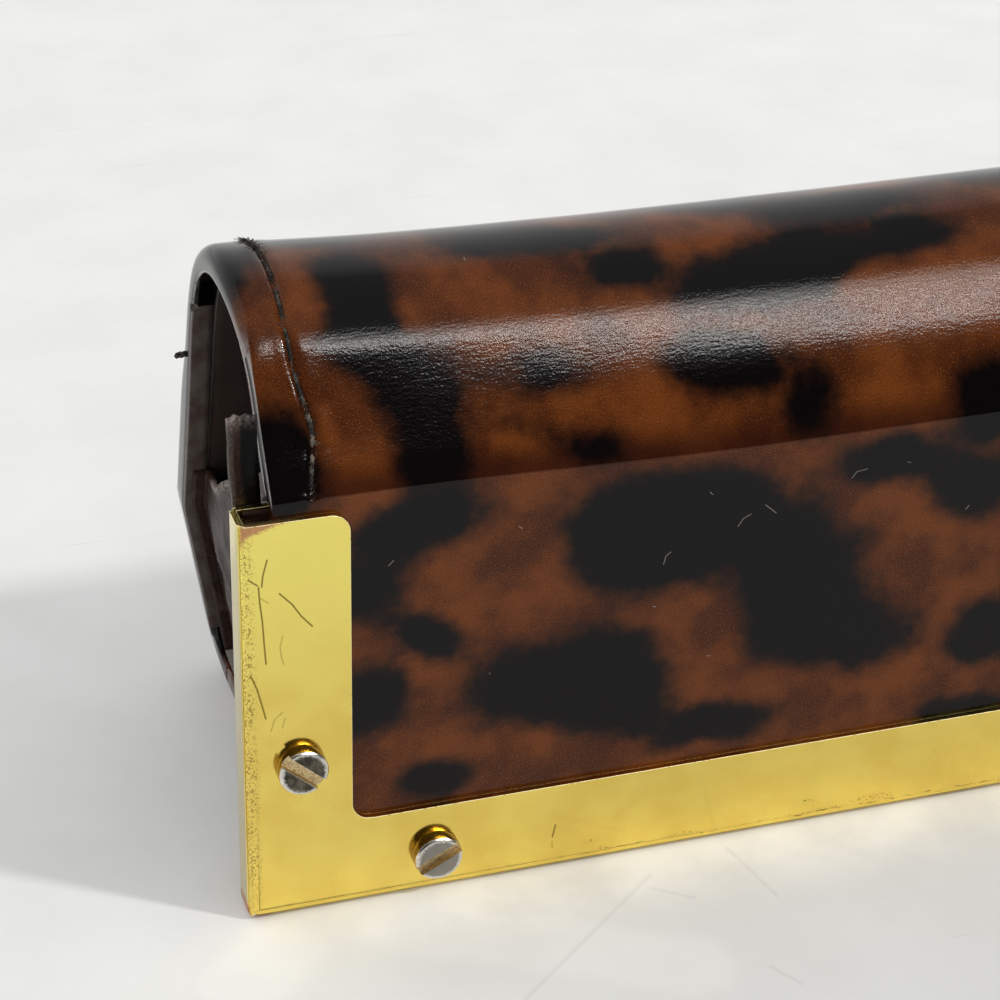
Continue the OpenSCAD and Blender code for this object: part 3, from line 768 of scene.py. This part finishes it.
path_n, high_n = 72, 52
sheet, crossings = lay_sheet(path_n, high_n, ("cut",))
cut = sheet.verts.layers.float_vector["cut"]
for v, i, j in crossings:
    t = i / path_n
    z = 0.0
    for _ in range(4):  # the plan depends on the height, and the top edge on the plan
        wall_y = back_wall(max(z, 3)) - front / mm
        if t < 0.06:
            u, y = 0.9 + 1.7 * t / 0.06, wall_y
        elif t < 0.66:
            u, y = 2.6, wall_y + (7.6 - wall_y) * (t - 0.06) / 0.6
        elif t < 0.74:
            a = (t - 0.66) / 0.08 * math.pi / 2
            u, y = 2.6 + 1.7 * (1 - math.cos(a)), 7.6 - 1.7 * math.sin(a)
        elif t < 0.82:
            u, y = 4.3 + 1.7 * (t - 0.74) / 0.08, 5.9
        elif t < 0.9:
            a = (t - 0.82) / 0.08 * math.pi / 2
            u, y = 6.0 + 1.1 * math.sin(a), 5.9 + 1.1 * (1 - math.cos(a))
        else:
            u, y = 7.1, 7.0 + 5.2 * (t - 0.9) / 0.1
        z = 2.75 + (top_edge(y) - 2.75) * j / high_n
    free = ease(t, 0.06, 0.16) * (1 - ease(t, 0.86, 0.98)) * ease(z, 2.8, 6)
    fold = 1.1 * wavy(y, z * 0.55, 8, 8.8) + 0.4 * wavy(y, z, 3.2, 6.1)
    fold -= 0.9 * bell(y - 20 - 0.55 * z, 2) * (1 - ease(z, 26, 36))
    below = top_edge(y) - z
    # the raw edge is frayed, and curls out where it hangs lowest
    ragged = ease(y, 12, 17) * (1 - ease(y, 28, 34))
    fold -= 0.8 * ragged * bell(below, 1.5)
    v.co = ((end_x + draw_in(z) + u + 0.9 * free * fold) * mm,
            front + (y + 0.5 * free * wavy(y, z, 6, 1.1)) * mm,
            (z + 0.5 * ragged * wavy(y, 0, 1.3, 3.3) * bell(below, 1.2)) * mm)
    v[cut] = (ragged * bell(below, 1.1), 0, 0)
left_gusset_leather = add_piece("left_gusset_leather", sheet, gusset_leather)
thicken(left_gusset_leather, 0.6 * mm, 0)
for piece, node in (
    (left_gusset_leather, "left_gusset"),
    (other_end("right_gusset_leather", left_gusset_leather), "right_gusset"),
):
    fit(piece, "gusset_leather", "case_body", node)

# --- Gusset wings ---
# The front wing of each gusset is gripped in the frame's channel, turns back inside the case
# as a fan about the crease, and ends on top in a loose cut tab.
wing_x, wing_y = (10.4 - half) * mm, front + 3.1 * mm
notch_y, notch_z = front + 4.6 * mm, 9.4 * mm


def draw_out(bm, edges, way):
    """Draws faces out of the edges by a vector, and gives the edges that end them."""
    made = bmesh.ops.extrude_edge_only(bm, edges=edges)["geom"]
    moved = [g for g in made if isinstance(g, bmesh.types.BMVert)]
    bmesh.ops.translate(bm, verts=moved, vec=way)
    made = [g for g in made if isinstance(g, bmesh.types.BMEdge)]
    return [e for e in made if all(v in moved for v in e.verts)]


def slice_at(bm, place, way, clear=False):
    """Cuts the faces along a plane, and clears away what lies behind it if asked to."""
    bmesh.ops.bisect_plane(bm, geom=bm.verts[:] + bm.edges[:] + bm.faces[:], plane_co=place,
                           plane_no=way, clear_inner=clear)


fan = bmesh.new()
tip = fan.verts.new((wing_x, pivot.y, pivot.z - 0.4 * mm))
rim = bmesh.ops.extrude_vert_indiv(fan, verts=[tip])
bmesh.ops.translate(fan, verts=rim["verts"], vec=(0, 0, -42.3 * mm))
bmesh.ops.subdivide_edges(fan, edges=fan.edges[:], cuts=23)
fan_angle = math.radians(55.6)
swung = bmesh.ops.spin(fan, geom=fan.verts[:] + fan.edges[:], cent=pivot, axis=(1, 0, 0),
                       angle=fan_angle, steps=24)["geom_last"]
# A strip along its rear edge stays behind the gusset when the flap is open.
rear = [
    e for e in swung if isinstance(e, bmesh.types.BMEdge)
    and all(4 * mm < math.hypot(v.co.y - pivot.y, v.co.z - pivot.z) < 38 * mm for v in e.verts)
]
draw_out(fan, rear, (0, 4.5 * mm * math.cos(fan_angle), 4.5 * mm * math.sin(fan_angle)))
slice_at(fan, (0, wing_y, 0), (0, 1, 0), clear=True)
slice_at(fan, (0, notch_y, 0), (0, 1, 0))
slice_at(fan, (0, 0, notch_z), (0, 0, 1))
for v in fan.verts:  # the pleats of the fan
    out = v.co - pivot
    a = math.atan2(out.y, -out.z)
    v.co.x += 0.16 * mm * math.sin(a * 26) * ease(a, 0.1, 0.3) * ease(out.length, 0.004, 0.02)
edge = [e for e in fan.edges if all(abs(v.co.y - wing_y) < 1e-6 for v in e.verts)]
for width in (0.5, 2.5, 3.4, 3.0):
    edge = draw_out(fan, edge, (-width * mm, 0, 0))
notch = []
for face in fan.faces:
    x, y, z = face.calc_center_median()
    if x > wing_x - 0.3 * mm and wing_y + 1e-5 < y < notch_y and z < notch_z:
        notch.append(face)
bmesh.ops.delete(fan, geom=notch, context="FACES")
fan.verts.layers.float_vector.new("cut")
tab, crossings = lay_sheet(6, 26, ("cut",))
cut = tab.verts.layers.float_vector["cut"]
for v, i, j in crossings:
    z = 36 + 18.6 * j / 26
    loose = ease(z, 45, 50)
    top = ease(z, 53.4, 54.6)
    v.co = ((0.25 - half + 2.75 * i / 6 - 0.35 * loose + 0.1 * wavy(i, j, 3, 2.2)) * mm,
            front + (4.45 + loose * (0.3 * wavy(i, j, 5, 5.0) - 0.3 * math.cos(i * 1.05))) * mm,
            (z + 0.5 * top * wavy(i, 0, 1.3, 4.4)) * mm)
    # painted shade: the second number marks the right half of the tab, which is painted near black
    v[cut] = (0.9 * top * (1 - i / 9) + 0.25 * (i == 0), float(i > 2), 0)
tab_mesh = bpy.data.meshes.new("tab")
tab.to_mesh(tab_mesh)
tab.free()
fan.from_mesh(tab_mesh)
bmesh.ops.recalc_face_normals(fan, faces=fan.faces)
left_wing = add_piece("left_wing", fan, gusset_leather)
thicken(left_wing, 0.5 * mm, 0)
for piece, node in (
    (left_wing, "left_gusset_wing"), (other_end("right_wing", left_wing), "right_gusset_wing")
):
    fit(piece, "gusset_leather", "flap", node)

# --- Metal frame ---
# A channel bent from sheet metal and gold plated. It grips the lower edge and both sides of the
# flap, and it is scratched and worn along its edges.
gold, shader, place = new_finish("gold_plate", Metallic=1.0, Roughness=0.15)
spot = axes(place)
from_end = count("SUBTRACT", (half + 0.35) * mm, count("ABSOLUTE", spot["X"]))
from_top = count("SUBTRACT", 45.4 * mm, spot["Z"])
from_low = spot["Z"]
haze = grain(place, 5 * mm, 3, 0.55)
fine = grain(place, 0.2 * mm, 3, 0.65)
patch = ramp(grain(place, 3.5 * mm, 3, 0.6), 0.32, 0.55)
plate = tint(ramp(haze, 0.3, 0.7), (0.84, 0.62, 0.135), (0.91, 0.71, 0.17))
# painted highlight: the arms are painted brighter and yellower towards their top
plate = tint(ramp(from_top, 3 * mm, 27 * mm, 0.85, 0), plate, (1.0, 0.87, 0.22))
# painted reflection: the side faces at the ends and their rounded edges are painted pale
plate = tint(ramp(from_end, 0.03 * mm, 0.22 * mm, 0.6, 0), plate, (0.72, 0.64, 0.44))
# pits along both ends and dashes along the lower bend
pits = times(ramp(from_end, 0.1 * mm, 0.3 * mm), ramp(from_end, 0.7 * mm, 1.8 * mm, 1, 0))
pits = times(pits, ramp(fine, 0.52, 0.59))
bend = count("ABSOLUTE", count("SUBTRACT", from_low, 1.05 * mm))
bend = ramp(bend, 0.1 * mm, 0.3 * mm, 1, 0)
dashes = ramp(grain(place, 0.5 * mm, 3, 0.6, (3, 1, 0.5)), 0.54, 0.62)
far = ramp(from_end, 20 * mm, 60 * mm, 0.25, 1.0)
dashes = times(times(bend, dashes), far)
marks = times(count("MAXIMUM", pits, dashes), patch)
for x, z, wide, high in ((67.6, 1.65, 4.2, 0.55), (60, 2.7, 1.2, 0.5), (37.2, 1.2, 1.6, 0.5),
                         (35.8, 2.4, 1.3, 0.4), (46, 1.3, 2.6, 0.4), (62, 1.3, 3, 0.3)):
    part = vectors("SUBTRACT", place, ((x - half) * mm, front, z * mm))[0]
    part = vectors("MULTIPLY", part, (1 / wide / mm, 3 / mm, 1 / high / mm))[0]
    size = vectors("LENGTH", part)["Value"]
    stain = ramp(grain(place, 0.22 * mm, 3, 0.7, (1.5, 1, 1)), 0.48, 0.7)
    marks = count("MAXIMUM", marks, times(ramp(size, 0.3, 1.0, 1, 0), stain))
plate = tint(times(marks, 0.75), plate, (0.2, 0.115, 0.03))
faint = times(ramp(fine, 0.62, 0.74), 0.4)
plate = tint(faint, plate, (0.55, 0.4, 0.1))


def on_front(*paths):
    """Lines on the frame's front, from their distances from its end and their heights."""
    return [[(x - half, front / mm, z) for x, z in path] for path in paths]


scratches = strokes(place, 0.16 * mm, on_front(
    ((2.38, 41.6), (1.94, 39.92), (1.81, 38.77)), ((0.54, 39.68), (1.4, 38.98)),
    ((1.5, 38.75), (1.59, 37.03), (1.8, 34.92), (1.91, 32.51), (2.05, 30.14)),
    ((3.51, 37.74), (4.72, 36.35), (5.61, 34.86), (6.64, 33.6)),
    ((0.55, 28.97), (1.14, 27.34), (1.68, 24.93), (1.9, 23.9)), ((31.87, 5.26), (31.58, 3.84)),
))
light_marks = strokes(place, 0.13 * mm, on_front(
    ((3.74, 33.01), (3.46, 31.78), (3.57, 30.7), (3.79, 29.75)), ((1.6, 37.6), (2.4, 36.9)),
    ((3.54, 24.32), (2.76, 23.65), (2.38, 22.34)), ((3.8, 23.62), (3.53, 22.53)),
    ((31.56, 3.2), (31.58, 2.42)),
))
scored = count("MAXIMUM", scratches, times(light_marks, 0.5))
plate = tint(times(scored, 0.85), plate, (0.22, 0.14, 0.03))
# copper shows where the plating is worn through at the corners
torn = count("MULTIPLY_ADD", fine, 0.9, -0.45)
in_front = ramp(spot["Y"], front + 0.3 * mm, front + 0.6 * mm, 1, 0)
bare = 0.0
for edge, high, wide, shown in (
    (from_top, 1.6, 5, in_front), (from_top, 4.2, 1.15, in_front), (from_top, 0.4, 7, in_front),
    (from_low, 0.7, 3.2, 1.0), (from_low, 2.4, 0.5, 1.0),
):
    share = count("MULTIPLY_ADD", edge, 1 / high / mm, torn)
    share = count("MULTIPLY_ADD", from_end, 1 / wide / mm, share)
    share = times(ramp(share, 0.7, 1.0, 1, 0), shown)
    bare = count("MAXIMUM", bare, share)
plate = tint(times(bare, 0.85), plate, (0.52, 0.22, 0.13))
feed(shader, plate)
dull = count("MAXIMUM", bare, marks)
feed(shader, count("MULTIPLY_ADD", dull, 0.25, ramp(haze, 0.2, 0.8, 0.1, 0.2)), "Roughness")
height = count("MULTIPLY_ADD", haze, 1.2, times(scored, -0.7))
height = count("SUBTRACT", height, times(marks, 0.6))
raise_grain(shader, height, 0.014 * mm)
# painted highlight: its rounded cut edges are painted a pale satin cream, so that they show as
# bright lines
gold_edge_highlight, shader, place = new_finish("gold_edge_highlight", Metallic=0.5, Roughness=0.45)
nicks = ramp(grain(place, 0.4 * mm, 3, 0.6), 0.56, 0.66)
feed(shader, tint(nicks, (0.97, 0.87, 0.5), (0.45, 0.33, 0.1)))
channel = merged_copy("flap_frame")
round_edges(channel, 0.2 * mm, 3, 1)
# extra rings of faces near every corner keep the shading of the long faces clean
for x, z in ((0, 45.15), (0, 45.1), (0, 1.36), (0, 1.42), (81.44, 0), (81.38, 0), (-81.44, 0),
             (-81.38, 0)):
    slice_at(channel, (x * mm, 0, z * mm), (bool(x), 0, bool(z)))
flat = [f for f in channel.faces if f.material_index == 0 and max(map(abs, f.normal)) > 0.9999]
bmesh.ops.inset_region(channel, faces=flat, thickness=0.05 * mm, use_even_offset=True)
# The bends are tighter than the model's: their rounding is pushed out towards the corner.
bend = 1.0 * mm
low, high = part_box("flap_frame")
for v in channel.verts:
    over = []
    for axis, side, edge in (
        (0, math.copysign(1, v.co.x), high.x), (2, -1, -low.z),
        (1, 1, high.y) if v.co.y > (low.y + high.y) / 2 else (1, -1, -low.y),
    ):
        past = (side * v.co[axis] - (edge - bend)) / bend
        if past > 0.001:
            over.append((axis, side, past))
    if len(over) > 1 and math.hypot(*(past for _, _, past in over)) > 0.9:
        power = 0.5 if len(over) == 2 else 0.75
        for axis, side, past in over:
            v.co[axis] += side * bend * (past**power - past)
# The photo's frame reaches a little further down and out than the model's.
for v in channel.verts:
    if v.co.z < 1.5 * mm:
        v.co.z -= 0.3 * mm
    if abs(v.co.x) > 81.3 * mm:
        v.co.x += math.copysign(0.35 * mm, v.co.x)
gold_frame = add_piece("gold_frame", channel, gold, gold_edge_highlight, sharp=50)
fit(gold_frame, "gold_plate", "flap", "flap_frame")

# --- Screws and nuts ---
# Four slotted screws go through the frame and the flap into round nuts on the back lips. Their
# plating has worn dark on the faces and stays bright on the rims.
screws = ((77.2, 17.7, -42), (63.4, 4.6, 28))  # off the middle, height, turn of the slot
steel, shader, place = new_finish("plated_steel", Metallic=1.0, Roughness=0.24)
pits = grain(place, 0.3 * mm, 3, 0.6)
rims = tint(ramp(pits, 0.35, 0.65), (0.62, 0.58, 0.5), (0.86, 0.84, 0.79))
deep = axes(place)["Y"]
# the sides of the heads are still gold, with a dark groove round them
sides = tint(ramp(pits, 0.3, 0.7), (0.3, 0.17, 0.04), (0.55, 0.37, 0.1))
groove = count("ABSOLUTE", count("SUBTRACT", deep, front - 0.72 * mm))
groove = ramp(groove, 0.03 * mm, 0.09 * mm, 0.85, 0)
sides = tint(groove, sides, (0.05, 0.025, 0.006))
above = ramp(deep, front - 1.3 * mm, front - 1.16 * mm, 1, 0)
feed(shader, tint(above, sides, rims))
raise_grain(shader, pits, 0.004 * mm)
slot_brass, shader, place = new_finish("slot_brass", Metallic=1.0, Roughness=0.4)
pits = grain(place, 0.2 * mm, 3, 0.6)
feed(shader, tint(ramp(pits, 0.4, 0.7), (0.72, 0.57, 0.32), (0.35, 0.24, 0.11)))
worn_steel, shader, place = new_finish("worn_steel", Metallic=1.0, Roughness=0.5)
pits = grain(place, 0.25 * mm, 4, 0.7)
patch = grain(place, 0.9 * mm, 3, 0.6)
spot = axes(place)
# dark in the middle, and bright at the rim; the lower screws are less worn
dull = tint(ramp(patch, 0.35, 0.65), (0.055, 0.05, 0.04), (0.15, 0.135, 0.105))
dull = tint(ramp(spot["Z"], 9 * mm, 12 * mm, 0.75, 0), dull, (0.34, 0.32, 0.3))
dull = tint(ramp(pits, 0.6, 0.8, 0.0, 0.7), dull, (0.34, 0.32, 0.27))
aside = put("CombineXYZ", {"X": count("ABSOLUTE", spot["X"]), "Z": spot["Z"]})
near_rim = 1.0
for x, z, _ in screws:
    away = vectors("DISTANCE", aside.outputs[0], (x * mm, 0, z * mm))["Value"]
    near_rim = count("MINIMUM", near_rim, away)
near_rim = count("MULTIPLY_ADD", pits, 0.8 * mm, near_rim)
worn_rim = ramp(near_rim, 2.3 * mm, 2.65 * mm)
feed(shader, tint(worn_rim, dull, (0.72, 0.7, 0.66)))
raise_grain(shader, pits, 0.03 * mm)
heads = merged_copy("frame_screws")
# the slots are wider than the model's
cad_half, slot_half = 0.4 * mm, 0.6 * mm
for v in heads.verts:
    for x, z, turn in screws:
        c, d = math.cos(math.radians(turn)), math.sin(math.radians(turn))
        along = (x * mm - abs(v.co.x)) * c + (v.co.z - z * mm) * d
        over = (v.co.z - z * mm) * c - (x * mm - abs(v.co.x)) * d
        reach = math.hypot(along, over)
        on_slot = abs(abs(over) - cad_half) < 0.02 * mm and reach < 2.6 * mm
        if on_slot and v.co.y < front - 0.1 * mm:
            if reach > 1.8 * mm:
                along *= math.sqrt((reach**2 - slot_half**2) / (reach**2 - cad_half**2))
            over = math.copysign(slot_half, over)
            v.co.x = math.copysign(x * mm - (along * c - over * d), v.co.x)
            v.co.z = z * mm + along * d + over * c
round_edges(heads, 0.16 * mm, 2)
for face in heads.faces:
    middle = face.calc_center_median()
    for x, z, _ in screws:
        away = math.hypot(abs(middle.x) - x * mm, middle.z - z * mm)
        if face.normal.y < -0.9 and middle.y < front - 1.4 * mm:
            face.material_index = 1
        elif away < 2 * mm and middle.y < front - 0.1 * mm and abs(face.normal.y) < 0.3:
            face.material_index = 2
        elif away < 2 * mm and face.normal.y < -0.9 and middle.y > front - 1.3 * mm:
            face.material_index = 2
slotted_screws = add_piece("slotted_screws", heads, steel, worn_steel, slot_brass, sharp=50)
nuts = merged_copy("frame_nuts")
round_edges(nuts, 0.12 * mm, 2)
round_nuts = add_piece("round_nuts", nuts, steel, sharp=50)
for piece, node in ((slotted_screws, "frame_screws"), (round_nuts, "frame_nuts")):
    fit(piece, "plated_steel", "flap", node)

# --- Seam thread ---
# Twisted dark thread, pulled tight into the seam's groove beside each end. Every stitch dives
# into the holes at both its ends.
waxed_thread, shader, place = new_finish("waxed_thread", Roughness=0.7, Specular_IOR_Level=0.2)
strand = grain(place, 0.09 * mm, 2, 0.6)
dusty = ramp(grain(place, 1.6 * mm, 3, 0.6), 0.44, 0.6)
low_down = axes(place)["Z"]
dusty = times(dusty, ramp(low_down, 50 * mm, 60 * mm, 1.0, 0.4))
yarn = tint(strand, (0.005, 0.004, 0.003), (0.032, 0.026, 0.022))
feed(shader, tint(dusty, yarn, (0.15, 0.125, 0.1)))


def outside(side, x, s, raised):
    """A place by the seam: its distances from the frame's end and along the leather, and how
    far above the leather it is."""
    y, z, _ = skin(s, -raised - flare(x, s))
    return (side * (half - x) * mm, y * mm, z * mm)


stitch_first, stitch_n = 0.5, 12
for side, node, name in (
    (-1, "left_seam_thread", "left_stitches"), (1, "right_seam_thread", "right_stitches")
):
    cord = bpy.data.curves.new(name, "CURVE")
    cord.dimensions, cord.bevel_depth, cord.bevel_resolution = "3D", 0.17 * mm, 1
    cord.use_fill_caps = True
    dice = random.Random(7)
    strands = []
    for n in range(stitch_n):
        for ply in (0, math.pi):
            points = []
            for k in range(33):
                t = k / 32
                s = stitch_first + (n + 0.09 + 0.86 * t) * stitch_pitch
                swing = ply + t * 3.4 * math.tau
                deep = 0.3 + 0.6 * abs(2 * t - 1) ** 6 + 0.1 * math.sin(swing)
                points.append(outside(side, seam_x(s) + 0.1 * math.cos(swing), s, -deep))
            strands.append((points, 1.0))
    # fibres that stand out of the thread, and a tuft that lies over it at the top of the ridge
    for n in range(150):
        tuft = n < 80
        s = dice.uniform(26, 31) if tuft else dice.uniform(0.5, 26)
        long = dice.uniform(0.4, 1.5) if tuft else dice.uniform(0.25, 0.7)
        lean = dice.uniform(-1.2, 0.5) if tuft else dice.uniform(-1, 1)
        rise, along = dice.uniform(0.15, 0.55) if tuft else 0.5 * long, dice.uniform(-0.6, 0.6)
        points = [
            outside(side, seam_x(s) + lean * long * q, s + along * q * (1 + bow * q),
                    -0.2 + rise * (1 - (1 - q) ** 2) + 0.1 * bow * q)
            for bow in (dice.uniform(-1, 1),) for q in (0, 0.25, 0.5, 0.75, 1)
        ]
        strands.append((points, 0.17))
    # the two tails of the thread at the back edge of the end, cut short
    for y, z, reach in ((34.2, 46.4, 0.8), (28.6, 54.4, 0.2)):
        for n in range(7):
            tail = [
                (side * (half - 2.6 + (reach + 0.4) * q + dice.uniform(-0.1, 0.1)) * mm,
                 front + (y + dice.uniform(-0.25, 0.25)) * mm,
                 (z + dice.uniform(-0.25, 0.25)) * mm)
                for q in (0, 0.5, 1)
            ]
            strands.append((tail, 1.0 if n < 5 else 0.4))
    for points, thick in strands:
        path = cord.splines.new("POLY")
        path.points.add(len(points) - 1)
        for point, place in zip(path.points, points):
            point.co, point.radius = (*place, 1), thick
    cord.materials.append(waxed_thread)
    fit(new_object(name, cord), "thread", "case_body", node)

low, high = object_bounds()
